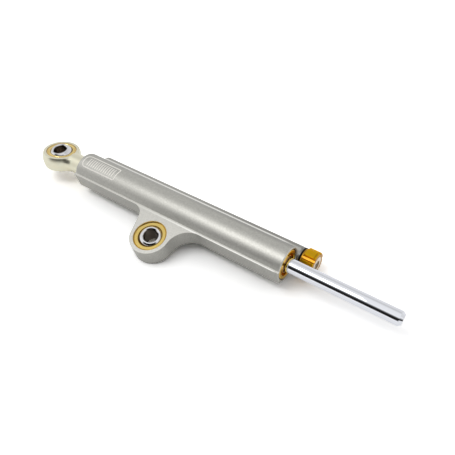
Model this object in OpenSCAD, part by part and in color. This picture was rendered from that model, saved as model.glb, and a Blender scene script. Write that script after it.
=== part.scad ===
// Motorcycle steering damper, through-rod type: one milled body with a lug and a side valve channel.
// Drawn in a body frame (rod axis = X, lug normal = Z, lug toward -Y) and set down by at_rest().

/* [Body] */
// radius of the main cylinder
body_r = 9.9; // [9.6:0.1:11]
// right end of the body, measured from the lug centre
body_right = 73; // [68:0.5:90]
// rounding of the left rim
rim_round = 0.8; // [0.3:0.1:1.2]
// distance from the rod axis to the milled near flat
flat_y = 9.5; // [9:0.1:9.6]
// width of the bright edge breaks
edge_break = 0.35; // [0.1:0.05:0.5]

/* [Lug] */
// thickness of the lug and of the flat rib behind it
lug_t = 10.6; // [10.2:0.1:12]
// outer radius of the lug
lug_r = 11.6; // [11.4:0.1:13]
// distance from the rod axis to the lug centre
lug_y = 22.5; // [21.5:0.1:26]
// fillet between lug and body on the long side
fillet_right = 12.3; // [9:0.1:14]
// fillet between lug and body on the short side
fillet_left = 7.5; // [6:0.1:8]
// neck half-width at the left fillet
neck_x = 13.8; // [13.4:0.1:15]

/* [Valve channel] */
// outer radius of the side channel's wall
lobe_r = 6.4; // [6.2:0.1:7]
// channel axis, away from the lug
channel_y = 11.5; // [11.2:0.1:12.5]
// channel axis, below the rod axis
channel_z = 10.3; // [10:0.1:11]
// depth of the channel's milled top flat below the rod axis
channel_flat = 4.5; // [4.3:0.1:4.8]
// bore of the channel
channel_r = 4; // [3.8:0.05:4.2]
// wider threaded mouths of the channel
mouth_channel_r = 5; // [4.9:0.05:5.2]
// half-width of the web between cylinder and channel
web_half = 4; // [3:0.1:4.5]
// radius of the cross ports
port_r = 1; // [0.6:0.05:1.1]

/* [Stroke] */
// travel of the rod
stroke = 60; // [40:1:90]
// radius of the main bore
bore_r = 8; // [7.8:0.05:8.1]
// length of the piston
piston_len = 12; // [10:0.5:14]
// thickness of a bump stop
bump_t = 1.5; // [1:0.1:2]
// oil space left between piston and bump stop
end_gap = 2.5; // [2.4:0.1:3]
// length of a seal head inside the body
head_len = 30; // [27:0.5:36]

/* [Rod] */
// rod radius
rod_r = 4; // [3.8:0.05:4.2]
// how far the rod's free end stands past the stroke
tip_over = 1.6; // [0.5:0.1:10]
// length of the tip chamfer
tip_chamfer = 1.6; // [0.5:0.1:2]
// gap between the body and the rod-end hub at rest
hub_gap = 1.35; // [0.8:0.05:6]
// from the hub's face to the centre of the rod-end eye
hub_len = 21.25; // [20.5:0.25:30]
// outside radius of the rod-end head, a sphere cut by two flats
eye_head_r = 11.9; // [11.4:0.1:12.5]
// half-thickness of the rod-end head
eye_half_t = 4.5; // [4.2:0.1:5]
// radius of the rod-end hub
hub_r = 6; // [5.6:0.1:7]
// blend between the rod-end head and its hub, seen along the eye
eye_fillet = 7; // [3:0.5:8]
// roll of the rod-end eye about the rod
eye_roll = 21.4; // [0:0.2:40]

/* [Bearings] */
// radius of the bearing balls
ball_r = 7.94; // [7.7:0.02:8]
// half-width of the balls over their flats
ball_half_w = 6; // [5.6:0.1:6.2]
// bolt hole through the balls
bolt_r = 4; // [3:0.05:4.1]
// outer radius of the lug bearing race
race_r = 9.5; // [9.3:0.05:9.8]
// half-width of the lug bearing race
race_half_w = 4.5; // [4:0.1:4.6]
// radius of the turned line on the lug race
race_line_r = 8.9; // [8:0.05:8.9]
// radius of the turned line on the rod-end race
end_line_r = 7.9; // [7.7:0.05:8.5]
// outer radius of the rod-end race
end_race_r = 9.25; // [9.1:0.05:9.4]
// lean of the lug ball
lug_ball_lean = 8; // [-12:1:12]
// lean of the rod-end ball
end_ball_lean = 10; // [-12:1:12]

/* [Knob] */
// outer radius of the knob
knob_r = 7.3; // [6.8:0.1:7.6]
// from the body to the grooved part of the knob
knob_gap = 2.9; // [2.7:0.1:6]
// length of the grooved part of the knob
knob_len = 7.1; // [7:0.1:12]
// number of grooves round the knob
grooves = 6; // [5:1:7]
// angle taken by one groove
groove_deg = 26; // [12:1:28]
// depth of a groove
groove_depth = 1.2; // [0.5:0.1:1.4]
// angle of the first groove about the rod direction
groove_start = 46; // [0:0.5:60]
// number of clicks in a turn
clicks = 12; // [8:1:16]

/* [Fits] */
// radial gap of every sliding or turning fit
run_gap = 0.03; // [0.02:0.01:0.04]
// radial gap of seated parts
seat_gap = 0.02; // [0.01:0.01:0.04]

/* [Hidden] */
big = 400;
eps = 0.01;
// tiny overlap that keeps tangent cuts crossing cleanly, and the extra turn of a cut past a tangent point
over = 0.005;
over_deg = 4;
// half of the opening in a retaining ring
gap_deg = 12;
// resting pose: the lug edge and the knob touch the ground
reach_lug = lug_y + lug_r - edge_break;
drop_knob = channel_z - lug_t / 2;
span_y = reach_lug + channel_y;
rest_roll = asin(knob_r / sqrt(span_y * span_y + drop_knob * drop_knob)) + atan2(drop_knob, span_y);
// web start behind the rounded rims, and channel placement
web_inset = 1.7;
web_end = 0.6;
channel_ang = atan2(-channel_z, channel_y);
channel_d = sqrt(channel_y * channel_y + channel_z * channel_z);
// chamber and piston
mouth_inset = 1.7;
front_face = body_right - mouth_inset;
chamber_right = front_face - head_len;
chamber_len = stroke + piston_len + 2 * bump_t + 2 * end_gap;
chamber_left = chamber_right - chamber_len;
rear_face = head_len - chamber_left;
body_left = rear_face + mouth_inset;
piston_right = chamber_right - bump_t - end_gap;
piston_left = piston_right - piston_len;
piston_r = bore_r - 0.3;
stop_clear = 0.4;
// chamfer and wall of the bore's mouths
lead_in = 0.5;
port_right = (piston_right + chamber_right - bump_t) / 2;
port_left = (piston_left - stroke + chamber_left + bump_t) / 2;
port_plug_r = port_r + 0.6;
port_plug_low = 0.4;
// band in the piston
band_w = 6;
band_in = bore_r - 1;
band_mid = (piston_left + piston_right) / 2;
band_side = 0.03;
band_deep = 0.05;
// seal heads and their retaining rings
mouth_r = bore_r + 0.6;
head_r = mouth_r - seat_gap;
ring_t = 1;
ring_side = 0.05;
ring_groove_t = ring_t + 2 * ring_side;
nose_r = mouth_r - 0.4;
ring_out = mouth_r + 0.45;
ring_groove_r = mouth_r + 0.5;
ring_in = nose_r + ring_side;
bush_r = rod_r + 1.4;
bush_len = 12;
bush_in = 0.5;
head_clear = 0.35;
head_chamfer = 0.4;
small_edge = 0.2;
seal_r = rod_r + 2.4;
seal_len = 4;
seal_x = bush_in + bush_len + 3;
lip_wall = 0.8;
lip_root = 1.1;
lip_deep = 1.7;
wiper_r = rod_r + 1.4;
wiper_len = 3;
wiper_x = head_len - 3.2 - wiper_len;
wiper_lip = 0.9;
lip_edge = 0.1;
boss_r = rod_r + 1;
boss_step = 0.3;
face_recess_r = rod_r + 2.3;
face_recess_d = 3.2;
head_oring_x = 8;
oring_wire = 0.45;
oring_slot = 1.1;
wire_gap = 0.01;
head_face = head_len + mouth_inset - 0.1;
// lug plan
fr_y = -(flat_y + fillet_right);
fr_x = sqrt(pow(lug_r + fillet_right, 2) - pow(lug_y + fr_y, 2));
fr_ang = atan2(fr_y + lug_y, fr_x);
fl_y = -(flat_y + fillet_left);
fl_x = -(neck_x + fillet_left);
fl_dist = sqrt(fl_x * fl_x + pow(lug_y + fl_y, 2));
fl_ang = atan2(-lug_y - fl_y, -fl_x) + acos((lug_r + fillet_left) / fl_dist);
rib_r = sqrt(flat_y * flat_y + lug_t * lug_t / 4) + 0.4;
// bearing seats
race_edge = 0.3;
race_line = 0.22;
snap_groove = 0.35;
snap_wire = snap_groove - seat_gap;
ball_chamfer = 0.5;
end_race_half_w = eye_half_t - small_edge;
// rod-end hub
hub_slope = hub_r - eye_half_t;
hub_face = body_left + hub_gap;
eye_x = hub_face + hub_len;
hub_left = eye_x - end_race_r;
hub_edge = 0.4;
blend_r = hub_r + eye_fillet;
blend_x = sqrt(pow(eye_head_r + eye_fillet, 2) - blend_r * blend_r);
blend_share = eye_head_r / (eye_head_r + eye_fillet);
rod_end_x = eye_x - end_race_r - 1.6;
rod_hole_x = rod_end_x + 0.3;
rod_tip = body_right + stroke + tip_over;
rod_chamfer = 0.5;
tip_in = 1.1;
clip_deep = 0.6;
piston_clip_t = 0.8;
piston_clip_side = 0.05;
piston_clip_x = 0.15;
clip_room_x = piston_clip_x + piston_clip_t + 2 * piston_clip_side;
piston_clip_room = 1.9;
clip_in = rod_r - clip_deep + seat_gap;
clip_rim = rod_r + piston_clip_room - 0.3;
// channel contents
channel_left = body_left - 0.5;
mouth_deep_right = 23;
mouth_deep_left = 8;
cart_left = body_right - mouth_deep_right;
cart_r = mouth_channel_r - seat_gap;
cart_flange_r = lobe_r - 0.1;
cart_flange_t = 1;
cart_face = body_right + cart_flange_t;
seat_x = port_right - 8.75;
seat_len = 4;
orifice_r = 1;
seat_edge = seat_x + seat_len - 1;
needle_r = 1.5;
needle_tip_r = 0.4;
needle_pull = 1.05;
needle_taper = 3;
needle_gap = 0.05;
needle_tip_x = seat_edge + needle_pull - (orifice_r - needle_gap - needle_tip_r) * needle_taper;
needle_cone_x = needle_tip_x + (needle_r - needle_tip_r) * needle_taper;
guide_len = 6;
guide_right = cart_left - 2.2;
guide_left = guide_right - guide_len;
hex_af = 6;
hex_gap = 0.05;
hex_len = 11;
hex_out = hex_af / 2 / cos(30);
needle_end = cart_left + hex_len - 1;
spindle_start = cart_left + 4.2;
needle_socket = spindle_start - 1.2;
spindle_r = 2;
collar_r = 2.9;
collar_deep = 7;
collar_left = body_right - collar_deep;
collar_len = 3.3;
collar_bore = collar_r + run_gap;
flute_r = 0.35;
detent_r = 0.6;
detent_x = collar_left + collar_len / 2;
detent_y = collar_r + run_gap + detent_r;
detent_wire = 0.3;
detent_slot = 0.4;
clip_t = 0.6;
clip_x = collar_left + collar_len + 0.05;
clip_out = collar_bore + 0.45;
clip_band = clip_out - spindle_r - 0.3;
spindle_seal_x = collar_left - 2.6;
spindle_wire = 0.36;
// knob contents
knob_x = body_right + knob_gap;
knob_ring_wire = 0.53;
spigot_r = lobe_r - 2 * knob_ring_wire;
knob_ring_x = cart_face + 0.07 + knob_ring_wire;
knob_flange_x = knob_ring_x + knob_ring_wire;
knob_flange_t = knob_x - knob_flange_x - small_edge;
knob_edge = 0.5;
knob_neck_r = knob_r - 0.9;
knob_line_in = 1.3;
knob_line_w = 0.35;
knob_line_deep = 0.75;
knob_right = knob_x + knob_len;
drive_af = 3;
drive_out = drive_af / 2 / cos(30);
drive_left = knob_x + 1;
drive_right = knob_right - 3;
screw_head_r = 2.6;
screw_r = 1;
screw_deep = 5;
screw_gap = 0.1;
screw_head_t = 1.4;
screw_key_r = 0.85;
screw_key_x = 0.5;
screw_seat_x = knob_right - 1.8;
// compensator
comp_x = port_left - 16.25;
comp_len = 6;
comp_cup = 1.6;
plug_len = 6.4;
plug_inset = 0.8;
plug_right = plug_inset + plug_len - channel_left;
plug_seal_x = plug_right - 1.4;
plug_key_r = 2.3;
plug_key_deep = 2.5;

// sets the body frame down on the ground, lug ball centre at the origin
module at_rest() {
  rotate([rest_roll, 0, 0])
    translate([0, lug_y, 0])
      children();
}

// a turned shape on the rod axis: points are [radius, x]
module turned(points) {
  rotate([0, 90, 0])
    rotate_extrude($fn = 96)
      polygon(points);
}

// a plain cylinder on the rod axis from x0 to x1
module bar(r, x0, x1) {
  translate([x0, 0, 0])
    rotate([0, 90, 0])
      cylinder(r = r, h = x1 - x0, $fn = 96);
}

// a ring on the rod axis
module ring(r_in, r_out, x0, x1) {
  turned([[r_in, x0], [r_out, x0], [r_out, x1], [r_in, x1]]);
}

// a round wire ring on the rod axis
module wire(r_mid, r_wire, x) {
  translate([x, 0, 0])
    rotate([0, 90, 0])
      rotate_extrude($fn = 96)
        translate([r_mid, 0])
          circle(r = r_wire, $fn = 32);
}

// moves a shape from the rod axis to the channel axis
module on_channel() {
  translate([0, channel_y, -channel_z])
    children();
}

// a seal head's own place, x = 0 on its inner face and x growing outward
module at_front() {
  translate([chamber_right, 0, 0])
    children();
}

module at_rear() {
  translate([chamber_left, 0, 0])
    mirror([1, 0, 0])
      children();
}

// flat retaining ring with a gap on its lower side
module split_ring(r_in, r_out, x0, t) {
  difference() {
    ring(r_in, r_out, x0, x0 + t);
    translate([x0 - 1, 0, 0])
      rotate([0, 90, 0])
        linear_extrude(t + 2)
          polygon([[0, 0], [big, big * tan(gap_deg)], [big, -big * tan(gap_deg)]]);
  }
}

// outline of the lug and its two fillets
module lug_plan() {
  ta = [fl_x + fillet_left * cos(fl_ang), fl_y + fillet_left * sin(fl_ang)];
  tb = [-(lug_r - over) * cos(fl_ang), -lug_y - (lug_r - over) * sin(fl_ang)];
  tc = [lug_r * cos(fr_ang), -lug_y + lug_r * sin(fr_ang)];
  translate([0, -lug_y])
    circle(r = lug_r, $fn = 128);
  difference() {
    polygon([[fl_x, -flat_y], [fl_x, fl_y], ta, tb, [0, -lug_y], tc, [fr_x, fr_y], [fr_x, -flat_y],
      [fr_x, 0], [fl_x, 0]]);
    translate([fl_x, fl_y])
      circle(r = fillet_left + over, $fn = 96);
    translate([fr_x, fr_y])
      circle(r = fillet_right + over, $fn = 96);
  }
}

// edge break along an arc: s = 1 for a convex edge, -1 for a concave one
module arc_break(r, a0, a1, s) {
  rotate([0, 0, a0])
    rotate_extrude(angle = a1 - a0, $fn = 96)
      polygon([[r - s * edge_break, lug_t / 2 + eps], [r + s * 0.2, lug_t / 2 + eps],
        [r + s * 0.2, lug_t / 2 - edge_break - 0.2], [r, lug_t / 2 - edge_break],
        [r - s * edge_break, lug_t / 2]]);
}

// edge break along a straight edge of the given length on +X, solid on the +Y side
module line_break(l) {
  rotate([90, 0, 90])
    linear_extrude(l)
      polygon([[edge_break, lug_t / 2 + eps], [-0.2, lug_t / 2 + eps], [-0.2, lug_t / 2 - edge_break - 0.2],
        [0, lug_t / 2 - edge_break], [edge_break, lug_t / 2]]);
}

// all edge breaks of the top side
module lug_breaks() {
  ta = [fl_x + fillet_left * cos(fl_ang), fl_y + fillet_left * sin(fl_ang)];
  tb = [-(lug_r - over) * cos(fl_ang), -lug_y - (lug_r - over) * sin(fl_ang)];
  translate([0, -lug_y, 0])
    arc_break(lug_r, 180 + fl_ang, 360 + fr_ang, 1);
  translate([fl_x, fl_y, 0])
    arc_break(fillet_left + over, fl_ang - over_deg, 90 + over_deg, -1);
  translate([fr_x, fr_y, 0])
    arc_break(fillet_right + over, 90 - over_deg, 180 + fr_ang + over_deg, -1);
  translate([ta[0], ta[1], 0])
    rotate([0, 0, atan2(tb[1] - ta[1], tb[0] - ta[0])])
      line_break(norm(tb - ta) + 0.8);
  translate([-body_left - 1, -flat_y, 0])
    line_break(fl_x + body_left + 1);
  translate([fr_x, -flat_y, 0])
    line_break(body_right + 1 - fr_x);
}

// bar on the rod axis with a rounded left rim and a small chamfer on the right
module rounded_left(r, x0, x1, round, chamfer) {
  rotate([0, 90, 0])
    rotate_extrude($fn = 96)
      difference() {
        polygon([[0, x0], [r, x0], [r, x1 - chamfer], [r - chamfer, x1], [0, x1]]);
        difference() {
          translate([r - round, x0 - 1])
            square(round + 1);
          translate([r - round, x0 + round])
            circle(r = round, $fn = 48);
        }
      }
}

module body_outside() {
  // cylinder with the near flat milled off
  intersection() {
    rounded_left(body_r, -body_left, body_right, rim_round, edge_break);
    translate([-big / 2, -flat_y, -big / 2])
      cube(big);
  }
  // flat rib, lug and their edge breaks
  difference() {
    union() {
      intersection() {
        translate([-body_left, -flat_y, -lug_t / 2])
          cube([body_left + body_right, flat_y, lug_t]);
        rounded_left(rib_r, -body_left, body_right, rim_round, edge_break);
      }
      translate([0, 0, -lug_t / 2])
        linear_extrude(lug_t)
          lug_plan();
    }
    lug_breaks();
    mirror([0, 0, 1])
      lug_breaks();
  }
  // valve channel and the web that joins it to the cylinder, both under one milled flat
  intersection() {
    union() {
      on_channel()
        rounded_left(lobe_r, -channel_left, body_right, rim_round, edge_break);
      rotate([channel_ang, 0, 0])
        translate([rim_round + web_inset - body_left, 0, -web_half])
          cube([body_left + body_right - rim_round - web_inset - web_end, channel_d, 2 * web_half]);
    }
    translate([-big / 2, -big / 2, -big - channel_flat])
      cube(big);
  }
}

module damper_body() {
  color([0.62, 0.61, 0.60])
    at_rest()
      difference() {
        body_outside();
        // main bore, seal head mouths, retaining ring grooves
        bar(bore_r, -body_left - 1, body_right + 1);
        turned([[0, chamber_right], [mouth_r, chamber_right], [mouth_r, body_right - lead_in + small_edge],
          [mouth_r + lead_in, body_right + small_edge], [0, body_right + small_edge]]);
        bar(mouth_r, -body_left - 1, chamber_left);
        bar(ring_groove_r, front_face, front_face + ring_groove_t);
        bar(ring_groove_r, -rear_face - ring_groove_t, -rear_face);
        // lug bore with snap ring grooves
        translate([0, -lug_y, -lug_t])
          cylinder(r = race_r + seat_gap, h = 2 * lug_t, $fn = 96);
        for (s = [-1, 1])
          translate([0, -lug_y, s * (race_half_w + snap_groove)])
            rotate_extrude($fn = 96)
              translate([race_r, 0])
                circle(r = snap_groove, $fn = 24);
        // channel bore, its mouths, and the cross ports
        on_channel() {
          bar(channel_r, -channel_left - 1, body_right + 1);
          bar(mouth_channel_r, body_right - mouth_deep_right, body_right + 1);
          bar(mouth_channel_r, -channel_left - 1, mouth_deep_left - channel_left);
        }
        for (x = [port_left, port_right])
          rotate([channel_ang, 0, 0])
            translate([x, 0, 0])
              rotate([-90, 0, 0]) {
                cylinder(r = port_r, h = channel_d + lobe_r + 1, $fn = 32);
                translate([0, 0, channel_d + channel_r / 2])
                  cylinder(r = port_plug_r, h = lobe_r, $fn = 32);
              }
      }
}

// bearing race, edges chamfered, a fine line turned into both faces, its seat cut by the ball
module race(r, half_w, line_r) {
  difference() {
    rotate_extrude($fn = 96)
      polygon([[0, -half_w], [line_r - race_line, -half_w], [line_r, race_line - half_w],
        [line_r + race_line, -half_w], [r - race_edge, -half_w], [r, race_edge - half_w],
        [r, half_w - race_edge], [r - race_edge, half_w], [line_r + race_line, half_w],
        [line_r, half_w - race_line], [line_r - race_line, half_w], [0, half_w]]);
    sphere(r = ball_r + run_gap, $fn = 96);
  }
}

module lug_bearing_race() {
  color([0.75, 0.58, 0.25])
    at_rest()
      translate([0, -lug_y, 0])
        race(race_r, race_half_w, race_line_r);
}

module lug_snap_rings() {
  color([0.15, 0.15, 0.15])
    at_rest()
      for (s = [-1, 1])
        translate([0, -lug_y, s * (race_half_w + snap_groove)])
          rotate_extrude($fn = 96)
            translate([race_r, 0])
              circle(r = snap_wire, $fn = 24);
}

// turned head with bush, seal, wiper and O-ring seats, inner face at x = 0
module seal_head() {
  difference() {
    turned([[0, 0], [head_r - head_chamfer, 0], [head_r, head_chamfer], [head_r, head_len],
      [nose_r, head_len], [nose_r, head_face - small_edge], [nose_r - small_edge, head_face],
      [face_recess_r + small_edge, head_face], [face_recess_r, head_face - small_edge],
      [face_recess_r, head_face - face_recess_d],
      [boss_r, head_face - face_recess_d], [boss_r, head_face - boss_step - small_edge],
      [boss_r - small_edge, head_face - boss_step], [0, head_face - boss_step]]);
    bar(rod_r + head_clear, -1, head_face + 1);
    bar(bush_r, -1, bush_in + bush_len);
    bar(seal_r, seal_x, seal_x + seal_len);
    bar(wiper_r, wiper_x, wiper_x + wiper_len);
    ring(mouth_r - 2 * oring_wire - seat_gap, mouth_r + 1, head_oring_x, head_oring_x + oring_slot);
  }
}

module front_seal_head() {
  color([0.80, 0.60, 0.15])
    at_rest()
      at_front()
        seal_head();
}

module rear_seal_head() {
  color([0.80, 0.60, 0.15])
    at_rest()
      at_rear()
        seal_head();
}

module head_o_rings() {
  color([0.08, 0.08, 0.08])
    at_rest() {
      at_front()
        wire(mouth_r - oring_wire - wire_gap, oring_wire, head_oring_x + oring_slot / 2);
      at_rear()
        wire(mouth_r - oring_wire - wire_gap, oring_wire, head_oring_x + oring_slot / 2);
    }
}

module head_circlips() {
  color([0.20, 0.19, 0.18])
    at_rest() {
      at_front()
        split_ring(ring_in, ring_out, head_len + ring_side, ring_t);
      at_rear()
        split_ring(ring_in, ring_out, head_len + ring_side, ring_t);
    }
}

module guide_bushes() {
  color([0.55, 0.42, 0.22])
    at_rest() {
      at_front()
        ring(rod_r + run_gap, bush_r - seat_gap, bush_in, bush_in + bush_len);
      at_rear()
        ring(rod_r + run_gap, bush_r - seat_gap, bush_in, bush_in + bush_len);
    }
}

// lip seal with a groove on its oil side
module lip_seal() {
  lip_x = seal_x + lip_edge;
  turned([[rod_r + run_gap, lip_x], [rod_r + lip_wall, lip_x], [rod_r + lip_root, lip_x + lip_deep],
    [seal_r - lip_root, lip_x + lip_deep], [seal_r - lip_wall, lip_x], [seal_r - seat_gap, lip_x],
    [seal_r - seat_gap, seal_x + seal_len], [rod_r + run_gap, seal_x + seal_len]]);
}

module rod_seals() {
  color([0.10, 0.10, 0.10])
    at_rest() {
      at_front()
        lip_seal();
      at_rear()
        lip_seal();
    }
}

// wiper ring with an outward lip
module wiper() {
  lip_x = wiper_x + wiper_len - lip_edge;
  turned([[rod_r + run_gap, wiper_x], [wiper_r - seat_gap, wiper_x], [wiper_r - seat_gap, lip_x - wiper_lip],
    [rod_r + run_gap + small_edge, lip_x], [rod_r + run_gap, lip_x]]);
}

module rod_wipers() {
  color([0.10, 0.10, 0.10])
    at_rest() {
      at_front()
        wiper();
      at_rear()
        wiper();
    }
}

module bump_stops() {
  color([0.12, 0.12, 0.12])
    at_rest() {
      at_front()
        ring(rod_r + stop_clear, bore_r - stop_clear / 2, -bump_t, 0);
      at_rear()
        ring(rod_r + stop_clear, bore_r - stop_clear / 2, -bump_t, 0);
    }
}

module valve_cartridge() {
  color([0.35, 0.35, 0.36])
    at_rest()
      on_channel()
        difference() {
          turned([[0, cart_left], [cart_r, cart_left], [cart_r, body_right], [cart_flange_r, body_right],
            [cart_flange_r, cart_face], [0, cart_face]]);
          // hex guide for the needle, spindle bore, collar bore
          translate([cart_left - 1, 0, 0])
            rotate([0, 90, 0])
              cylinder(r = hex_out + hex_gap / cos(30), h = hex_len + 1, $fn = 6);
          bar(spindle_r + run_gap, cart_left, cart_face + 1);
          bar(collar_bore, collar_left, cart_face + 1);
          // seal, clip, detent and O-ring grooves
          bar(spindle_r + 2 * spindle_wire + 0.05, spindle_seal_x - oring_wire, spindle_seal_x + oring_wire);
          bar(clip_out + ring_side, clip_x - run_gap, clip_x + clip_t + run_gap);
          translate([detent_x, 0, 0])
            cylinder(r = detent_r + seat_gap, h = cart_r + 1, $fn = 32);
          ring(detent_y + detent_r - 0.03, cart_r + 1, detent_x - detent_slot, detent_x + detent_slot);
          ring(mouth_channel_r - 2 * oring_wire - seat_gap, cart_r + 1, spindle_seal_x - oring_slot / 2,
            spindle_seal_x + oring_slot / 2);
        }
}

module channel_o_rings() {
  color([0.08, 0.08, 0.08])
    at_rest()
      on_channel() {
        wire(mouth_channel_r - oring_wire - wire_gap, oring_wire, spindle_seal_x);
        wire(mouth_channel_r - oring_wire - wire_gap, oring_wire, plug_seal_x);
      }
}

module valve_seat() {
  color([0.70, 0.66, 0.55])
    at_rest()
      on_channel()
        turned([[orifice_r, seat_x], [channel_r - seat_gap, seat_x],
          [channel_r - seat_gap, seat_x + seat_len], [orifice_r + 1, seat_x + seat_len],
          [orifice_r, seat_edge]]);
}

module port_plugs() {
  color([0.45, 0.45, 0.45])
    at_rest()
      for (x = [port_left, port_right])
        rotate([channel_ang, 0, 0])
          translate([x, channel_d + channel_r + port_plug_low / 4, 0])
            rotate([-90, 0, 0])
              cylinder(r = port_plug_r - seat_gap, h = lobe_r - channel_r - port_plug_low, $fn = 32);
}

module channel_end_plug() {
  color([0.62, 0.61, 0.60])
    at_rest()
      on_channel()
        difference() {
          bar(cart_r, plug_right - plug_len, plug_right);
          translate([plug_right - plug_len - 1, 0, 0])
            rotate([0, 90, 0])
              cylinder(r = plug_key_r, h = plug_key_deep + 1, $fn = 6);
          ring(mouth_channel_r - 2 * oring_wire - seat_gap, cart_r + 1, plug_seal_x - oring_slot / 2,
            plug_seal_x + oring_slot / 2);
        }
}

module detent_ball() {
  color([0.80, 0.80, 0.82])
    at_rest()
      on_channel()
        translate([detent_x, 0, detent_y])
          sphere(r = detent_r, $fn = 48);
}

// open wire ring that presses the detent ball inward
module detent_spring() {
  color([0.70, 0.70, 0.72])
    at_rest()
      on_channel()
        translate([detent_x, 0, 0])
          rotate([0, 90, 0])
            rotate([0, 0, 20])
              rotate_extrude(angle = 320, $fn = 96)
                translate([detent_y + detent_r + detent_wire + seat_gap, 0])
                  circle(r = detent_wire, $fn = 24);
}

module spindle_circlip() {
  color([0.20, 0.19, 0.18])
    at_rest()
      on_channel()
        split_ring(clip_out - clip_band, clip_out, clip_x, clip_t);
}

module spindle_o_ring() {
  color([0.08, 0.08, 0.08])
    at_rest()
      on_channel()
        wire(spindle_r + run_gap + spindle_wire, spindle_wire, spindle_seal_x);
}

// spherical bearing ball with two flats and a chamfered bolt hole, axis on Z
module ball() {
  difference() {
    intersection() {
      sphere(r = ball_r, $fn = 96);
      cube([4 * ball_r, 4 * ball_r, 2 * ball_half_w], center = true);
    }
    cylinder(r = bolt_r, h = 4 * ball_r, center = true, $fn = 64);
    for (m = [0, 1])
      mirror([0, 0, m])
        rotate_extrude($fn = 64)
          polygon([[0, ball_half_w - ball_chamfer], [bolt_r, ball_half_w - ball_chamfer],
            [bolt_r + ball_chamfer + 0.1, ball_half_w + 0.1], [0, ball_half_w + 0.1]]);
  }
}

module lug_ball() {
  color([0.75, 0.76, 0.78])
    at_rest()
      translate([0, -lug_y, 0])
        rotate([0, lug_ball_lean, 0])
          ball();
}

// puts a shape in the rod-end eye, its axis on the eye's axis
module at_eye(extra) {
  translate([-eye_x, 0, 0])
    rotate([extra - eye_roll, 0, 0])
      children();
}

module rod_end_ball() {
  color([0.75, 0.76, 0.78])
    at_rest()
      at_eye(end_ball_lean)
        ball();
}

module rod_end_race() {
  color([0.80, 0.78, 0.68])
    at_rest()
      at_eye(0)
        race(end_race_r - seat_gap, end_race_half_w, end_line_r);
}

// hollow curve from the head down to the hub, head centre at x = 0
module head_blend() {
  rotate([0, 90, 0])
    rotate_extrude($fn = 96)
      difference() {
        translate([0, blend_x * blend_share - 1])
          square([blend_r * blend_share, blend_x * (1 - blend_share) + 1]);
        translate([blend_r, blend_x])
          circle(r = eye_fillet + over, $fn = 96);
      }
}

module rod_end_head() {
  color([0.84, 0.81, 0.70])
    at_rest()
      difference() {
        union() {
          at_eye(0)
            intersection() {
              union() {
                sphere(r = eye_head_r, $fn = 128);
                head_blend();
              }
              cube([4 * eye_head_r, 3 * eye_head_r, 2 * eye_half_t], center = true);
            }
          turned([[0, -hub_left], [hub_r - hub_slope, -hub_left], [hub_r, hub_slope - hub_left],
            [hub_r, -hub_face - hub_edge], [hub_r - hub_edge, -hub_face], [0, -hub_face]]);
        }
        at_eye(0)
          cylinder(r = end_race_r, h = 4 * eye_half_t, center = true, $fn = 96);
        bar(rod_r + seat_gap, -rod_hole_x, -hub_face + 1);
      }
}

module piston_rod() {
  color([0.80, 0.82, 0.86])
    at_rest()
      difference() {
        turned([[0, -rod_end_x], [rod_r - rod_chamfer, -rod_end_x], [rod_r, rod_chamfer - rod_end_x],
          [rod_r, rod_tip - tip_chamfer], [rod_r - tip_in, rod_tip], [0, rod_tip]]);
        ring(rod_r - clip_deep, rod_r + 1, piston_left + piston_clip_x, piston_left + clip_room_x);
        ring(rod_r - clip_deep, rod_r + 1, piston_right - clip_room_x, piston_right - piston_clip_x);
      }
}

module piston() {
  color([0.66, 0.64, 0.58])
    at_rest()
      difference() {
        bar(piston_r, piston_left, piston_right);
        bar(rod_r + seat_gap, piston_left - 1, piston_right + 1);
        bar(rod_r + piston_clip_room, piston_left - 1, piston_left + clip_room_x);
        bar(rod_r + piston_clip_room, piston_right - clip_room_x, piston_right + 1);
        ring(band_in - band_deep, bore_r + 1, band_mid - band_w / 2 - band_side,
          band_mid + band_w / 2 + band_side);
      }
}

module piston_circlips() {
  color([0.20, 0.19, 0.18])
    at_rest() {
      split_ring(clip_in, clip_rim, piston_left + piston_clip_x + piston_clip_side, piston_clip_t);
      split_ring(clip_in, clip_rim, piston_right - clip_room_x + piston_clip_side, piston_clip_t);
    }
}

module piston_band() {
  color([0.15, 0.20, 0.20])
    at_rest()
      ring(band_in, bore_r - run_gap, band_mid - band_w / 2, band_mid + band_w / 2);
}

// one groove of the knob, pointing along +Y from the channel axis
module knob_groove() {
  half_top = knob_r * sin(groove_deg / 2);
  half_low = half_top * 0.35;
  translate([knob_x - 1, 0, 0])
    rotate([90, 0, 90])
      linear_extrude(knob_len + 2)
        polygon([[knob_r - groove_depth, -half_low], [knob_r, -half_top], [knob_r + 2, -half_top - 1],
          [knob_r + 2, half_top + 1], [knob_r, half_top], [knob_r - groove_depth, half_low]]);
}

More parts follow.
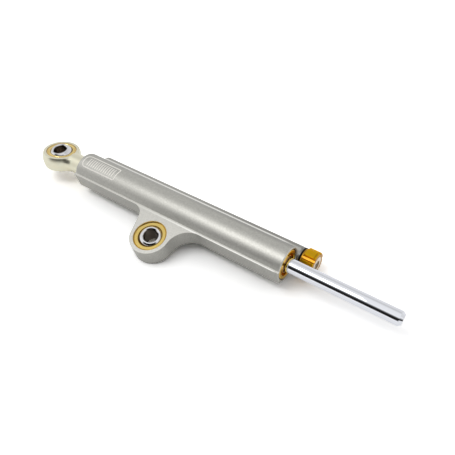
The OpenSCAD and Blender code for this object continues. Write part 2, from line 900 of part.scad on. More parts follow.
module adjuster_knob() {
  step = 360 / grooves;
  flat_in = knob_r * cos(step / 2 - groove_deg / 2);
  color([0.85, 0.62, 0.05])
    at_rest()
      on_channel()
        difference() {
          union() {
            bar(spigot_r - 0.01, cart_face + 0.1, knob_x);
            bar(cart_flange_r, knob_flange_x, knob_flange_x + knob_flange_t);
            bar(knob_neck_r, knob_flange_x, knob_x + 1);
            intersection() {
              turned([[0, knob_x], [knob_r - knob_edge, knob_x], [knob_r, knob_x + knob_edge],
                [knob_r, knob_right - knob_edge], [knob_r - knob_edge, knob_right], [0, knob_right]]);
              rotate([groove_start + step / 2, 0, 0])
                translate([knob_x - 1, 0, 0])
                  rotate([90, 0, 90])
                    rotate([0, 0, step / 2])
                      cylinder(r = flat_in / cos(step / 2), h = knob_len + 2, $fn = grooves);
            }
          }
          for (k = [0 : grooves - 1])
            rotate([groove_start + k * step, 0, 0])
              knob_groove();
          // thin line near the outer end
          ring(knob_r - knob_line_deep, knob_r + 1, knob_right - knob_line_in,
            knob_right - knob_line_in + knob_line_w);
          // spindle, drive and screw holes
          bar(spindle_r + seat_gap, cart_face - 1, drive_left + 0.2);
          translate([drive_left, 0, 0])
            rotate([0, 90, 0])
              cylinder(r = drive_out + seat_gap, h = drive_right - drive_left, $fn = 6);
          bar(screw_r + screw_gap, drive_left, knob_right + 1);
          bar(screw_head_r + screw_gap, screw_seat_x, knob_right + 1);
        }
}

module knob_screw() {
  color([0.30, 0.30, 0.31])
    at_rest()
      on_channel()
        difference() {
          union() {
            bar(screw_r, screw_seat_x - screw_deep, screw_seat_x + 0.1);
            bar(screw_head_r, screw_seat_x, screw_seat_x + screw_head_t);
          }
          translate([screw_seat_x + screw_key_x, 0, 0])
            rotate([0, 90, 0])
              cylinder(r = screw_key_r, h = screw_head_t, $fn = 6);
        }
}

module knob_o_ring() {
  color([0.05, 0.05, 0.05])
    at_rest()
      on_channel()
        wire(spigot_r + knob_ring_wire, knob_ring_wire, knob_ring_x);
}

module adjuster_spindle() {
  color([0.70, 0.68, 0.62])
    at_rest()
      on_channel()
        difference() {
          union() {
            bar(spindle_r, spindle_start, drive_left + 0.1);
            difference() {
              bar(collar_r, collar_left + 0.05, collar_left + collar_len - 0.05);
              for (k = [0 : clicks - 1])
                rotate([k * 360 / clicks, 0, 0])
                  translate([collar_left - 1, 0, collar_r + flute_r * 0.6])
                    rotate([0, 90, 0])
                      cylinder(r = flute_r, h = collar_len + 2, $fn = 24);
            }
            translate([drive_left, 0, 0])
              rotate([0, 90, 0])
                cylinder(r = drive_out, h = drive_right - drive_left - 0.2, $fn = 6);
          }
          bar(screw_r + seat_gap, screw_seat_x - screw_deep - 0.3, drive_right + 1);
        }
}

module needle() {
  color([0.72, 0.73, 0.75])
    at_rest()
      on_channel()
        difference() {
          union() {
            turned([[0, needle_tip_x], [needle_tip_r, needle_tip_x], [needle_r, needle_cone_x],
              [needle_r, guide_left], [channel_r - run_gap, guide_left], [channel_r - run_gap, guide_right],
              [0, guide_right]]);
            translate([guide_right - 0.5, 0, 0])
              rotate([0, 90, 0])
                cylinder(r = hex_out, h = needle_end - guide_right + 0.5, $fn = 6);
          }
          bar(spindle_r + run_gap, needle_socket, needle_end + 1);
        }
}

module compensator_piston() {
  color([0.66, 0.64, 0.58])
    at_rest()
      on_channel()
        difference() {
          bar(channel_r - run_gap, comp_x, comp_x + comp_len);
          bar(channel_r - comp_cup, comp_x - 1, comp_x + comp_cup);
          ring(channel_r - run_gap - 2 * oring_wire, channel_r + 1, comp_x + comp_len / 2 - oring_slot / 2,
            comp_x + comp_len / 2 + oring_slot / 2);
        }
}

module compensator_o_ring() {
  color([0.08, 0.08, 0.08])
    at_rest()
      on_channel()
        wire(channel_r - run_gap - oring_wire + wire_gap, oring_wire, comp_x + comp_len / 2);
}

damper_body();
lug_bearing_race();
lug_snap_rings();
front_seal_head();
rear_seal_head();
head_o_rings();
head_circlips();
guide_bushes();
rod_seals();
rod_wipers();
bump_stops();
valve_cartridge();
channel_o_rings();
valve_seat();
port_plugs();
channel_end_plug();
detent_ball();
detent_spring();
spindle_circlip();
spindle_o_ring();
lug_ball();
rod_end_ball();
piston_band();
piston_rod();
piston();
piston_circlips();
rod_end_head();
rod_end_race();
adjuster_knob();
knob_screw();
knob_o_ring();
adjuster_spindle();
needle();
compensator_piston();
compensator_o_ring();
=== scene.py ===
import math

import bpy
import numpy as np
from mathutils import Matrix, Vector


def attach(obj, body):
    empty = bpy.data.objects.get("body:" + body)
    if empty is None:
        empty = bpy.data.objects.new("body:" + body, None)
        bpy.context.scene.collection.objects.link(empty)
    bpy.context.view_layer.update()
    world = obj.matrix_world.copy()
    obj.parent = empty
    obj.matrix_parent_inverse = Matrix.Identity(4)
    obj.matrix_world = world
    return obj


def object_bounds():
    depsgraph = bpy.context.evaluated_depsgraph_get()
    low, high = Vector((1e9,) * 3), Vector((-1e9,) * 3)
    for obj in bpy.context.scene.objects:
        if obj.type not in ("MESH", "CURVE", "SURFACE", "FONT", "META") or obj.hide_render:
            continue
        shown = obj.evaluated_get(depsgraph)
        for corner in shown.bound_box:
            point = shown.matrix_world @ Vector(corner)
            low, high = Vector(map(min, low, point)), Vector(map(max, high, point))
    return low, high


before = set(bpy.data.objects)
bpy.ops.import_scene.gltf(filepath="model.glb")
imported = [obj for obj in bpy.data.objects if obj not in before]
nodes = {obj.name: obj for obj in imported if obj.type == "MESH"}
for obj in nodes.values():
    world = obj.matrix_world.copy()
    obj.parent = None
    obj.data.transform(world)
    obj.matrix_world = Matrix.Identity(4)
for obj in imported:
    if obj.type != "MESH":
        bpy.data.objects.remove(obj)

cad_box = [list(corner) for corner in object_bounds()]

# Camera: stands over the right end of the damper, a little under a third of a metre away, and looks
# down on it at about 43 degrees, so that the body runs from the upper left to the lower right.
camera_place = (0.15429, -0.15019, 0.20684)
camera_turn = (47.0, -0.022, 34.695)
lens_mm = 42.46
sensor_mm = 36.0
clip_from = 0.005

camera_data = bpy.data.cameras.new("camera")
camera_data.lens = lens_mm
camera_data.sensor_width = sensor_mm
camera_data.clip_start = clip_from
camera = bpy.data.objects.new("camera", camera_data)
camera.location = camera_place
camera.rotation_euler = [math.radians(turn) for turn in camera_turn]
bpy.context.scene.collection.objects.link(camera)
bpy.context.scene.camera = camera
bpy.context.scene.view_settings.view_transform = "Standard"


# Room: a bright overhead and a pale far side, and a dark near side up to about 40 degrees, which is
# what draws the black stripe along the chromed rod. The camera itself sees plain white. Each side is
# a list of (height, grey) stops, from the horizon at 0 to straight up at 1.
far_side = [(0.0, 0.92), (0.25, 0.84), (0.60, 0.74), (0.80, 0.62), (0.93, 0.84), (1.0, 0.93)]
near_side = [(0.0, 1.0), (0.45, 0.95), (0.70, 0.95), (0.84, 0.98), (1.0, 0.93)]
dark_side = [(0.0, 0.008), (0.48, 0.015), (0.60, 0.08), (0.68, 0.40), (0.78, 0.95), (1.0, 0.93)]
near_span = (0.25, -0.25)
dark_toward = (0.342, -0.940, 0.0)
dark_span = (0.45, 0.74)
level_only = (1, 1, 0)
white = (1, 1, 1, 1)


def linear(code):
    """Linear colour with alpha from an sRGB code such as 'b4b0a9'."""
    out = []
    for k in (0, 2, 4):
        s = int(code[k:k + 2], 16) / 255
        out.append(s / 12.92 if s <= 0.04045 else ((s + 0.055) / 1.055) ** 2.4)
    return (*out, 1.0)


def add_node(tree, kind, sockets=None, links=None, **settings):
    """Adds one shader node, sets its properties and sockets, and links its inputs to the given outputs."""
    node = tree.nodes.new("ShaderNode" + kind)
    for name, value in settings.items():
        setattr(node, name, value)
    for name, value in (sockets or {}).items():
        node.inputs[name].default_value = value
    for name, source in (links or {}).items():
        tree.links.new(source, node.inputs[name])
    return node


def ramp(tree, factor, stops):
    """A colour ramp through (position, grey) stops."""
    node = add_node(tree, "ValToRGB", links={"Fac": factor})
    band = node.color_ramp
    while len(band.elements) < len(stops):
        band.elements.new(0.5)
    for element, (position, grey) in zip(band.elements, stops):
        element.position = position
        element.color = (grey, grey, grey, 1.0)
    return node.outputs["Color"]


def calc(tree, operation, *values):
    """Arithmetic on sockets or plain numbers, one after the other where there are more than two."""
    if len(values) > 2:
        values = (calc(tree, operation, *values[:-1]), values[-1])
    plain = {k: value for k, value in enumerate(values) if isinstance(value, (int, float))}
    linked = {k: value for k, value in enumerate(values) if k not in plain}
    return add_node(tree, "Math", plain, linked, operation=operation).outputs[0]


def vector(tree, operation, source, other=None, output="Vector"):
    """One step of vector arithmetic on a socket and, where it takes two, a plain vector."""
    plain = {} if other is None else {1: other}
    return add_node(tree, "VectorMath", plain, {0: source}, operation=operation).outputs[output]


def split(tree, source):
    """The X, Y and Z of a vector."""
    return add_node(tree, "SeparateXYZ", links={0: source}).outputs


def step(tree, value, span, low=0.0, high=1.0):
    """Goes smoothly from low to high while the value crosses the span."""
    sockets = {"From Min": span[0], "From Max": span[1], "To Min": low, "To Max": high}
    node = add_node(tree, "MapRange", sockets, {"Value": value}, interpolation_type="SMOOTHSTEP")
    return node.outputs["Result"]


def blend(tree, factor, first, second):
    """A colour between two, each a linear colour or a socket. A Mix node has its colours at 6 and 7."""
    plain = {k: c for k, c in ((6, first), (7, second)) if isinstance(c, tuple)}
    linked = {k: c for k, c in ((6, first), (7, second)) if k not in plain}
    return add_node(tree, "Mix", plain, {"Factor": factor, **linked}, data_type="RGBA").outputs[2]


world = bpy.data.worlds.new("studio")
bpy.context.scene.world = world
world.use_nodes = True
tree = world.node_tree
tree.nodes.clear()
direction = add_node(tree, "TexCoord").outputs["Generated"]
far = split(tree, direction)["Y"]
height = split(tree, direction)["Z"]
level = vector(tree, "NORMALIZE", vector(tree, "MULTIPLY", direction, level_only))
toward = vector(tree, "DOT_PRODUCT", level, dark_toward, "Value")
walls = blend(tree, step(tree, far, near_span), ramp(tree, height, far_side), ramp(tree, height, near_side))
room = blend(tree, step(tree, toward, dark_span), walls, ramp(tree, height, dark_side))
to_metal = add_node(tree, "Background", links={"Color": room})
to_camera = add_node(tree, "Background", {"Color": white})
seen = add_node(tree, "LightPath").outputs["Is Camera Ray"]
mixed = add_node(tree, "MixShader", links={0: seen, 1: to_metal.outputs[0], 2: to_camera.outputs[0]})
add_node(tree, "OutputWorld", links={"Surface": mixed.outputs[0]})

# Soft box: a panel up to the left of the camera, which lays the broad highlight along the body.
box_size = (0.36, 0.42)
box_place = (-0.18, -0.29, 0.70)
box_turn = (-21.0, -12.0, 0.0)
box_power = 1.80

panel = bpy.data.lights.new("soft_box", "AREA")
panel.shape = "RECTANGLE"
panel.size, panel.size_y = box_size
panel.energy = box_power
soft_box = bpy.data.objects.new("soft_box", panel)
soft_box.location = box_place
soft_box.rotation_euler = [math.radians(turn) for turn in box_turn]
bpy.context.scene.collection.objects.link(soft_box)

# Floor: matt white paper under the lug and the lobe. The camera sees it whiter than the metal and the
# other rays do, so that it washes out to white and still keeps the soft shadow.
paper_reach = 3.0
paper_true = 0.92
paper_seen = {"Is Glossy Ray": 1.0, "Is Camera Ray": 1.42}

low = cad_box[0][2]
corners = [(-paper_reach, -paper_reach, low), (paper_reach, -paper_reach, low),
           (paper_reach, paper_reach, low), (-paper_reach, paper_reach, low)]
floor_mesh = bpy.data.meshes.new("floor")
floor_mesh.from_pydata(corners, [], [(0, 1, 2, 3)])
floor = bpy.data.objects.new("floor", floor_mesh)
bpy.context.scene.collection.objects.link(floor)
paper = bpy.data.materials.new("matt_white_paper")
paper.use_nodes = True
tree = paper.node_tree
tree.nodes.clear()
path = add_node(tree, "LightPath").outputs
tone = paper_true
for ray, tone_seen in paper_seen.items():
    other_rays = calc(tree, "SUBTRACT", 1.0, path[ray])
    tone = calc(tree, "ADD", calc(tree, "MULTIPLY", path[ray], tone_seen),
                calc(tree, "MULTIPLY", other_rays, tone))
tint = add_node(tree, "CombineColor", links={0: tone, 1: tone, 2: tone})
sheet = add_node(tree, "BsdfDiffuse", links={"Color": tint.outputs[0]})
add_node(tree, "OutputMaterial", links={"Surface": sheet.outputs[0]})
floor_mesh.materials.append(paper)


# Body: one piece milled from aluminium bar, bead blasted and hard anodised a warm grey. It is satin:
# a soft wide highlight, a fine blasted grain, and faint cutter lines left across the milled flats,
# drawn farther apart than a real cutter leaves them, so that they show.
mm_per_m = 1000.0
grain_detail = 2.0
rest_roll = math.radians(15.533)
lug_y = 22.5
rod_way = (1, 0, 0)

mottle_mm = 0.9
mottle_dark = "abaaa4"
mottle_and_top_light_grey = "d0cfc9"
blast_mm = 0.12
blast_deep_mm = 0.006
cutter_pitch_mm = 1.0
cutter_deep = 0.5
cutter_tone = 0.18
near_flat_darkening = 0.12
rib_top_light = 0.36
darkening_grey = "6c6b67"
painted_highlight_grey = "f6f5f1"

# The spans over which its masks come in: rises are the upward share of the surface's normal, and the
# rest is in mm on the damper's own axes. The rib's edge, the strip along the lobe and the right end face
# get painted highlights, the top of the rib painted light, and the far flank of the cylinder and of the
# lobe painted shade. The milled flats are painted a little darker.
upright_rise = (0.12, 0.04)
level_rise = (0.985, 0.998)
near_flat_y = (-9.3, -9.45)
lug_fan_y = (-10.5, -21.5)
rib_top_y = (-8.0, -8.4)
rib_edge = ((0, -9.5, 5.3), rod_way)
rib_edge_r = (0.62, 0.24)
rib_edge_end = (71.5, 70.0)
rib_highlight_x, rib_highlight = (-20.0, 35.0), (0.25, 1.0)
strip_y = (12.0, 12.6)
strip_x, strip_highlight = (60.0, 68.0), (0.7, 0.2)
end_face_x = (72.6, 72.9)
end_face_z, end_face_highlight_share = (-10.0, 8.0), (0.0, 0.5)
lobe_flank_y, lobe_flank_shade = (14.2, 14.8), (0.0, 0.3)
flank_y = (3.8, 7.8)
flank_x, flank_shade = (-10.0, 50.0), (0.30, 0.55)


def grain(tree, size_mm):
    """Noise of the given grain, on the piece's own coordinates."""
    place = add_node(tree, "TexCoord").outputs["Object"]
    sockets = {"Scale": mm_per_m / size_mm, "Detail": grain_detail}
    return add_node(tree, "TexNoise", sockets, {"Vector": place}).outputs["Fac"]


def metal(name, colour, rough, rough_mm, colour_mm=None, **plain):
    """A metal named for its finish. Grain of rough_mm moves its roughness between two limits. Its colour
    is one code, or two that grain of colour_mm moves between. Further sockets are plain values."""
    made = bpy.data.materials.new(name)
    made.use_nodes = True
    tree = made.node_tree
    sockets = tree.nodes["Principled BSDF"].inputs
    sockets["Metallic"].default_value = 1.0
    for socket, value in plain.items():
        sockets[socket.replace("_", " ")].default_value = value
    limits = {"To Min": rough[0], "To Max": rough[1]}
    spread = add_node(tree, "MapRange", limits, {"Value": grain(tree, rough_mm)})
    tree.links.new(spread.outputs["Result"], sockets["Roughness"])
    if colour_mm:
        first, second = [linear(code) for code in colour]
        tree.links.new(blend(tree, grain(tree, colour_mm), first, second), sockets["Base Color"])
    else:
        sockets["Base Color"].default_value = linear(colour)
    return made


def paint(tree, mask, code):
    """Lays a colour over what the material has so far, as far as the mask says."""
    base = tree.nodes["Principled BSDF"].inputs["Base Color"]
    under = base.links[0].from_socket if base.links else tuple(base.default_value)
    tree.links.new(blend(tree, mask, under, linear(code)), base)


def relief(tree, height, deep_mm):
    """Turns a height into relief, where a height of 1 stands deep_mm proud."""
    bump = add_node(tree, "Bump", {"Distance": deep_mm / mm_per_m, "Strength": 1.0}, {"Height": height})
    tree.links.new(bump.outputs["Normal"], tree.nodes["Principled BSDF"].inputs["Normal"])


def dress(material, *names):
    """Gives CAD nodes their finish."""
    for name in names:
        for slot in nodes[name].material_slots:
            slot.material = material


def own_mm(tree):
    """Place in mm on the damper's own axes: X along the rod, Y away from the lug, Z up through the lug."""
    sockets = {"Scale": [mm_per_m] * 3, "Rotation": (-rest_roll, 0, 0), "Location": (0, -lug_y, 0)}
    place = add_node(tree, "TexCoord").outputs["Object"]
    return add_node(tree, "Mapping", sockets, {"Vector": place}).outputs[0]


def own_normal(tree):
    """The surface's normal on the same axes."""
    sockets = {"Rotation": (-rest_roll, 0, 0)}
    normal = add_node(tree, "TexCoord").outputs["Normal"]
    return add_node(tree, "Mapping", sockets, {"Vector": normal}, vector_type="VECTOR").outputs[0]


def off_axis(tree, *axes):
    """Distance in mm from the nearer of several axes, each a centre and a direction:
    the length of (place - centre) x direction."""
    found = []
    for centre, way in axes:
        arm = vector(tree, "SUBTRACT", own_mm(tree), centre)
        found.append(vector(tree, "LENGTH", vector(tree, "CROSS_PRODUCT", arm, way), output="Value"))
    return found[0] if len(found) == 1 else calc(tree, "MINIMUM", *found)


def waves(tree, distance, pitch):
    """A sine of the given pitch along a distance."""
    return calc(tree, "SINE", calc(tree, "MULTIPLY", distance, 2 * math.pi / pitch))


anodised = metal("bead_blasted_hard_anodised_aluminium", mottle_dark, rough=(0.42, 0.52), rough_mm=blast_mm)
tree = anodised.node_tree
x, y, z = split(tree, own_mm(tree))
rise = split(tree, own_normal(tree))["Z"]
upright = step(tree, calc(tree, "ABSOLUTE", rise), upright_rise)
milled = calc(tree, "MULTIPLY", upright, step(tree, y, near_flat_y))
along = calc(tree, "ADD", x, calc(tree, "MULTIPLY", step(tree, y, lug_fan_y), y))
cuts = calc(tree, "MULTIPLY", waves(tree, along, cutter_pitch_mm), milled)
level_cut = step(tree, rise, level_rise)
# Painted light: the level top of the rib is painted lighter, as light from above makes it.
painted_top_light = calc(tree, "MULTIPLY", level_cut, step(tree, y, rib_top_y), rib_top_light)
# The real grain mottle and cutter lines, plus the rib top's painted light.
light = calc(tree, "ADD", calc(tree, "MULTIPLY", cuts, cutter_tone), grain(tree, mottle_mm), painted_top_light)
# Painted highlight: a bright line along the rib's upper edge, stronger toward the right end.
painted_edge_highlight = calc(tree, "MULTIPLY", step(tree, off_axis(tree, rib_edge), rib_edge_r),
            step(tree, calc(tree, "ABSOLUTE", x), rib_edge_end), step(tree, x, rib_highlight_x, *rib_highlight))
# Painted highlight: a bright strip along the top of the lobe, fading toward the right end.
painted_strip_highlight = calc(tree, "MULTIPLY", level_cut, step(tree, y, strip_y), step(tree, x, strip_x, *strip_highlight))
# Painted highlight: the upper part of the right end face is painted brighter.
end_face_highlight = calc(tree, "MULTIPLY", step(tree, x, end_face_x), step(tree, z, end_face_z, *end_face_highlight_share))
# Painted shade on the far flank of the cylinder and of the lobe. The milled flats are also made a little
# darker.
painted_flank_shade = calc(tree, "MULTIPLY", step(tree, y, flank_y), step(tree, x, flank_x, *flank_shade))
painted_shade_and_flat_tone = calc(tree, "MAXIMUM", painted_flank_shade, step(tree, y, lobe_flank_y, *lobe_flank_shade),
            calc(tree, "MULTIPLY", milled, near_flat_darkening))
paint(tree, light, mottle_and_top_light_grey)
# Painted shade, and the milled flats' darker tone, in a dark grey.
paint(tree, painted_shade_and_flat_tone, darkening_grey)
# Painted highlights in a pale grey on the rib's edge, the lobe's strip and the right end face.
paint(tree, calc(tree, "MAXIMUM", painted_edge_highlight, painted_strip_highlight, end_face_highlight), painted_highlight_grey)
uneven = calc(tree, "ADD", grain(tree, blast_mm), calc(tree, "MULTIPLY", cuts, cutter_deep))
relief(tree, uneven, blast_deep_mm)
dress(anodised, "damper_body")

# Etched frame: a plain rounded frame with plain ticks in it, etched light into the top of the body's
# left end. Each line is a thin shell on the cylinder, a hundredth of a millimetre proud of it.
frame_left, frame_right = -68.0, -41.2
frame_half = 4.5
frame_round = (3.2, 1.3)
line_w = 0.72
tick_first, tick_pitch, tick_count, tick_half, tick_w = -64.2, 1.65, 13, 2.75, 0.62
arc_points, side_points = 13, 18
body_r = 9.9
etch_deep, etch_proud = 0.05, 0.012
etch_low, etch_top = body_r - etch_deep, body_r + etch_proud
under_top = 1e-6


def on_body(x, s, r):
    """Point of the body's cylinder in metres: x along it, s the arc in mm from its top line, at radius r:
    (x, r cos(90 deg + s/R), r sin(90 deg + s/R)), put down by the body's roll and kept under the highest
    point of the part."""
    turn = math.pi / 2 + np.asarray(s) / body_r
    y, z = r * np.cos(turn) + lug_y, r * np.sin(turn)
    far = y * math.cos(rest_roll) - z * math.sin(rest_roll)
    height = (y * math.sin(rest_roll) + z * math.cos(rest_roll)) / mm_per_m
    return np.stack([x / mm_per_m, far / mm_per_m, np.minimum(height, cad_box[1][2] - under_top)], 1)


def ribbon(first, second, closed):
    """Closed shell between two (x, s) lines with as many points, from etch_low up to etch_top."""
    rows = [on_body(line[:, 0], line[:, 1], r) for line, r in
            ((first, etch_top), (second, etch_top), (second, etch_low), (first, etch_low))]
    grid = np.arange(4 * len(first)).reshape(4, -1)
    wrap = np.concatenate([grid, grid[:1]])
    if closed:
        wrap = np.concatenate([wrap, wrap[:, :1]], 1)
    faces = np.stack([wrap[:-1, :-1], wrap[:-1, 1:], wrap[1:, 1:], wrap[1:, :-1]], -1).reshape(-1, 4)
    if not closed:
        faces = np.concatenate([faces, grid[:, 0][None], grid[::-1, -1][None]])
    return np.concatenate(rows), faces


def rounded(inset):
    """The frame's outline, inset by so much: four arcs (x, s) = c + r (cos t, sin t) and straight sides,
    cut fine so that they lie on the cylinder."""
    arcs = []
    for right, top, start in ((1, 1, 0), (0, 1, 90), (0, 0, 180), (1, 0, 270)):
        r = frame_round[right]
        cx = (frame_right - r) if right else (frame_left + r)
        cs = (frame_half - r) * (1 if top else -1)
        t = np.radians(np.linspace(start, start + 90, arc_points))
        arcs.append(np.stack([cx + (r - inset) * np.cos(t), cs + (r - inset) * np.sin(t)], 1))
    points = []
    for arc, following in zip(arcs, arcs[1:] + arcs[:1]):
        points += [arc, np.linspace(arc[-1], following[0], side_points)[1:-1]]
    return np.concatenate(points)


def tick(left):
    """One tick, a straight line across the cylinder's top."""
    across = np.linspace(-tick_half, tick_half, arc_points)
    first, second = [np.stack([np.full(arc_points, x), across], 1) for x in (left, left + tick_w)]
    return ribbon(first, second, False)


def mesh_piece(name, shells, material):
    """One object from several closed shells, at the origin, with its finish."""
    starts = np.cumsum([0] + [len(points) for points, faces in shells])
    all_points = np.concatenate([points for points, faces in shells])
    all_faces = np.concatenate([faces + start for (points, faces), start in zip(shells, starts)])
    mesh = bpy.data.meshes.new(name)
    mesh.from_pydata(all_points.tolist(), [], all_faces.tolist())
    mesh.materials.append(material)
    made = bpy.data.objects.new(name, mesh)
    bpy.context.scene.collection.objects.link(made)
    return made


etched = metal("bright_etched_line", ("e8e5de", "f6f3ec"), colour_mm=0.3, rough=(0.5, 0.7), rough_mm=0.3,
               Metallic=0.0)
outline = ribbon(rounded(line_w), rounded(0.0), True)
ticks = [tick(tick_first + k * tick_pitch) for k in range(tick_count)]
etched_frame = mesh_piece("etched_frame", [outline, *ticks], etched)
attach(etched_frame, "housing")

# Lug bearing race: brass, turned, pressed into the lug. A bright yellow ring to the eye, with painted shade
# at its mouth round the ball, and the turning leaves fine rings on its face.
eye_x = -93.0
eye_lean = 21.4
race_mouth_r = (7.15, 6.85)
painted_mouth_shade = "6e5422"
turning_pitch_mm = 0.55


def leaning(centre, toward_x=0.0, toward_y=0.0):
    """An axis through a centre, leaning from the vertical by so many degrees toward X or toward Y."""
    lean_x, lean_y = math.radians(toward_x), math.radians(toward_y)
    return centre, (math.sin(lean_x), math.sin(lean_y), math.cos(lean_x + lean_y))


def turned_rings(tree, distance, deep_mm):
    """Rings left by the lathe tool, drawn as coarse as they need to be to show."""
    relief(tree, waves(tree, distance, turning_pitch_mm), deep_mm)


lug_centre = (0, -lug_y, 0)
eye_centre = (eye_x, 0, 0)
race_axes = (leaning(lug_centre), leaning(eye_centre, toward_y=eye_lean))
brass = metal("turned_brass", ("dcbf6c", "e8cd80"), colour_mm=1.2, rough=(0.18, 0.30), rough_mm=0.25)
tree = brass.node_tree
from_axis = off_axis(tree, *race_axes)
# Painted shade at the race's mouth, round the ball.
paint(tree, step(tree, from_axis, race_mouth_r), painted_mouth_shade)
turned_rings(tree, from_axis, deep_mm=0.0025)
dress(brass, "lug_bearing_race")

# Lug snap rings: flat spring steel, zinc plated and passivated yellow, sprung in above and below the
# race. They show as a thin yellow rim between the brass and the lug.
yellow_spring = metal("yellow_passivated_spring_steel", ("b89c5c", "ccb270"), colour_mm=0.8,
                      rough=(0.24, 0.36), rough_mm=0.3)
dress(yellow_spring, "lug_snap_rings")

# Circlips of the heads, the spindle and the piston: carbon spring steel, sprung into turned grooves and
# oil blackened. Dull brown black with a faint sheen.
dark_spring = metal("blackened_spring_steel", ("332e27", "443d33"), colour_mm=0.6,
                    rough=(0.28, 0.42), rough_mm=0.3)
dress(dark_spring, "head_circlips", "spindle_circlip", "piston_circlips")

# Bearing balls: chromium steel, hardened, ground and polished, each with a hole for its bolt. Bright
# white rims, painted shade in the holes, and a painted brown shade near the race, which starts a little
# farther out on the rod end's ball.
lug_ball_lean, eye_ball_lean = 8.0, 11.4
hole_r = (4.30, 4.02)
painted_hole_shade = "7c7268"
shade_ring_r = (5.85, 6.25)
painted_ring_shade = "66502c"
eye_side_x, eye_shade_shift = (-80.0, -82.0), (0.0, -0.7)

ball_steel = metal("polished_bearing_steel", "e2e2e4", rough=(0.08, 0.16), rough_mm=0.2)
tree = ball_steel.node_tree
ball_axes = (leaning(lug_centre, toward_x=lug_ball_lean), leaning(eye_centre, toward_y=eye_ball_lean))
from_axis = off_axis(tree, *ball_axes)
farther_out = step(tree, split(tree, own_mm(tree))["X"], eye_side_x, *eye_shade_shift)
# Painted shade: a brown ring on the ball next to the race.
paint(tree, step(tree, calc(tree, "ADD", from_axis, farther_out), shade_ring_r), painted_ring_shade)
# Painted shade in the ball's hole.
paint(tree, step(tree, from_axis, hole_r), painted_hole_shade)
dress(ball_steel, "lug_ball", "rod_end_ball")

# Detent ball, in the wall of the valve cartridge, and needle, on the spindle's thread: the same steel as
# the bearing balls, ground all over, small and mirror bright.
ground_steel = metal("ground_bearing_steel", "dcdde0", rough=(0.08, 0.16), rough_mm=0.15)
dress(ground_steel, "detent_ball", "needle")

# Seal heads: aluminium, turned and anodised gold, one in each end of the bore. The dye is a deep gold,
# and the recess round the rod, where light bounces twice, is painted from yellow to a red brown shade.
rod_axis = ((0, 0, 0), rod_way)
recess_r, recess_shade_share = (6.4, 5.2), (0.0, 0.8)
painted_recess_shade = "b06c0c"

gold = metal("gold_anodised_turned_aluminium", ("eebf3c", "f6cc4c"), colour_mm=1.0,
             rough=(0.16, 0.28), rough_mm=0.2)
tree = gold.node_tree
from_rod = off_axis(tree, rod_axis)
# Painted shade in the recess round the rod.
paint(tree, step(tree, from_rod, recess_r, *recess_shade_share), painted_recess_shade)
turned_rings(tree, calc(tree, "ADD", from_rod, split(tree, own_mm(tree))["X"]), deep_mm=0.0025)
dress(gold, "front_seal_head", "rear_seal_head")

# Rod: ground steel with hard chrome, polished. A mirror: the dark near side of the room is its black
# stripe, and the paper below it is its pale underside. The grinding leaves it a trace uneven.
chrome = metal("hard_chrome", "eceef4", rough=(0.02, 0.035), rough_mm=0.5)
tree = chrome.node_tree
relief(tree, grain(tree, size_mm=4.0), deep_mm=0.0006)
dress(chrome, "piston_rod")

# Rod-end head: forged steel, zinc plated and passivated a pale champagne. Satin, faintly uneven from
# the forging, and drifting between cream and a hint of green as such plating does.
champagne = metal("champagne_zinc_plate", ("ebe3c8", "e6e8d6"), colour_mm=5.0,
                  rough=(0.28, 0.36), rough_mm=0.4)
tree = champagne.node_tree
relief(tree, grain(tree, size_mm=1.6), deep_mm=0.012)
dress(champagne, "rod_end_head")

# Rod-end race: steel with the same plating, a yellow band with an amber outer rim, and painted shade at
# its mouth round the ball.
end_mouth_r = (7.1, 6.8)
painted_end_mouth_shade = "8a6c34"
end_rim_r = (8.4, 8.6)
end_rim_amber = "d8b878"

champagne_race = metal("plated_bearing_race", "e8d08c", rough=(0.16, 0.25), rough_mm=0.3)
tree = champagne_race.node_tree
from_axis = off_axis(tree, *race_axes)
# Painted shade at the race's mouth, round the ball.
paint(tree, step(tree, from_axis, end_mouth_r), painted_end_mouth_shade)
paint(tree, step(tree, from_axis, end_rim_r), end_rim_amber)
turned_rings(tree, from_axis, deep_mm=0.002)
dress(champagne_race, "rod_end_race")

# Adjuster knob: aluminium, turned, milled with six grooves and anodised a deep gold, then faced off at
# the end, which leaves the middle of that face bare and pale inside a gold rim. The grooves are painted a
# darker brown shade.
knob_axis = ((0, 11.5, -10.3), rod_way)
groove_r = (7.15, 6.6)
painted_groove_shade = "b8882c"
face_x = (82.94, 82.98)
bare_r = (5.0, 4.8)
bare_pale = "ecdecc"

knob_gold = metal("gold_anodised_milled_aluminium", ("d29e0a", "deb016"), colour_mm=0.8,
                  rough=(0.30, 0.42), rough_mm=0.2)
tree = knob_gold.node_tree
from_knob = off_axis(tree, knob_axis)
at_face = step(tree, split(tree, own_mm(tree))["X"], face_x)
bare = calc(tree, "MULTIPLY", at_face, step(tree, from_knob, bare_r))
# Painted shade in the grooves.
paint(tree, step(tree, from_knob, groove_r), painted_groove_shade)
paint(tree, bare, bare_pale)
turned_rings(tree, calc(tree, "MULTIPLY", from_knob, bare), deep_mm=0.002)
dress(knob_gold, "adjuster_knob")

# Valve cartridge: free-cutting steel, turned, and dull zinc plated. Its flange shows as a satin grey
# ring behind the knob.
cartridge = metal("dull_zinc_plated_steel", ("868581", "999893"), colour_mm=0.8,
                  rough=(0.36, 0.46), rough_mm=0.3)
dress(cartridge, "valve_cartridge")

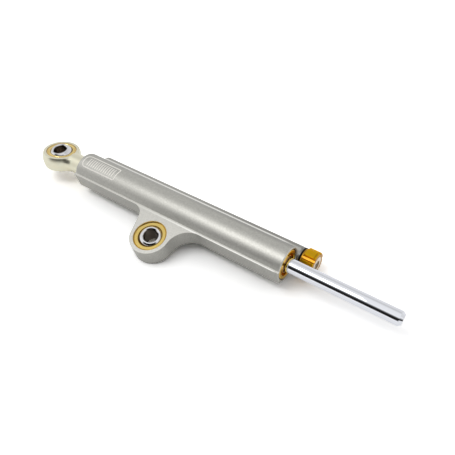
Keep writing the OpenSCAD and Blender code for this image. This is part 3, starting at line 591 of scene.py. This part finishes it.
# Small steel parts of the adjuster: spindle, its screw, valve seat, the port plugs and the detent's
# spring. Turned or drawn, left bare, with a faint oil film.
plain_steel = metal("oiled_bare_steel", ("9f9d98", "b3b1ac"), colour_mm=0.7, rough=(0.25, 0.36), rough_mm=0.3)
dress(plain_steel, "knob_screw", "adjuster_spindle", "valve_seat", "port_plugs", "detent_spring")

# Piston, compensator piston and channel plug: aluminium, fine turned and left natural, so pale grey
# with fine rings.
pale_alu = metal("fine_turned_aluminium", "b8b4aa", rough=(0.25, 0.36), rough_mm=0.3)
tree = pale_alu.node_tree
turned_rings(tree, split(tree, own_mm(tree))["X"], deep_mm=0.003)
dress(pale_alu, "piston", "compensator_piston", "channel_end_plug")

# Guide bushes: sintered bronze soaked in oil, pressed into the seal heads, where they carry the rod.
# Brown, with the open grain of the powder.
powder_mm = 0.15

bronze = metal("sintered_bronze", ("7a5a2e", "9c7842"), colour_mm=powder_mm,
               rough=(0.35, 0.5), rough_mm=powder_mm)
tree = bronze.node_tree
relief(tree, grain(tree, powder_mm), deep_mm=0.004)
dress(bronze, "guide_bushes")


# Seals and rings: moulded nitrile rubber, laid in turned grooves and seats of the heads, the valve, the
# knob and the compensator. Matt black and faintly mottled where the oil has dried.
def moulded(name, colour, rough, mottle_mm, gloss):
    """A soft dark moulding with a mottle of the given size and the given specular level."""
    made = metal(name, colour, rough, mottle_mm, Metallic=0.0, Specular_IOR_Level=gloss)
    tree = made.node_tree
    relief(tree, grain(tree, mottle_mm), deep_mm=0.003)
    return made


rubber = moulded("nitrile_rubber", "0d0a08", rough=(0.56, 0.68), mottle_mm=0.2, gloss=0.2)
dress(rubber, "head_o_rings", "channel_o_rings", "spindle_o_ring", "knob_o_ring", "compensator_o_ring",
      "rod_seals", "rod_wipers")

# Piston band: PTFE filled with bronze powder, split and sprung into the piston's groove, where it both
# guides and seals. Waxy, dark green grey.
filled_ptfe = moulded("bronze_filled_ptfe", "26332f", rough=(0.44, 0.56), mottle_mm=0.3, gloss=0.5)
dress(filled_ptfe, "piston_band")

# Bump stops: cast polyurethane washers round the rod at both ends of the chamber, which take the last
# of the stroke. Dull dark brown.
urethane = moulded("cast_polyurethane", "2a2420", rough=(0.54, 0.66), mottle_mm=0.4, gloss=0.4)
dress(urethane, "bump_stops")
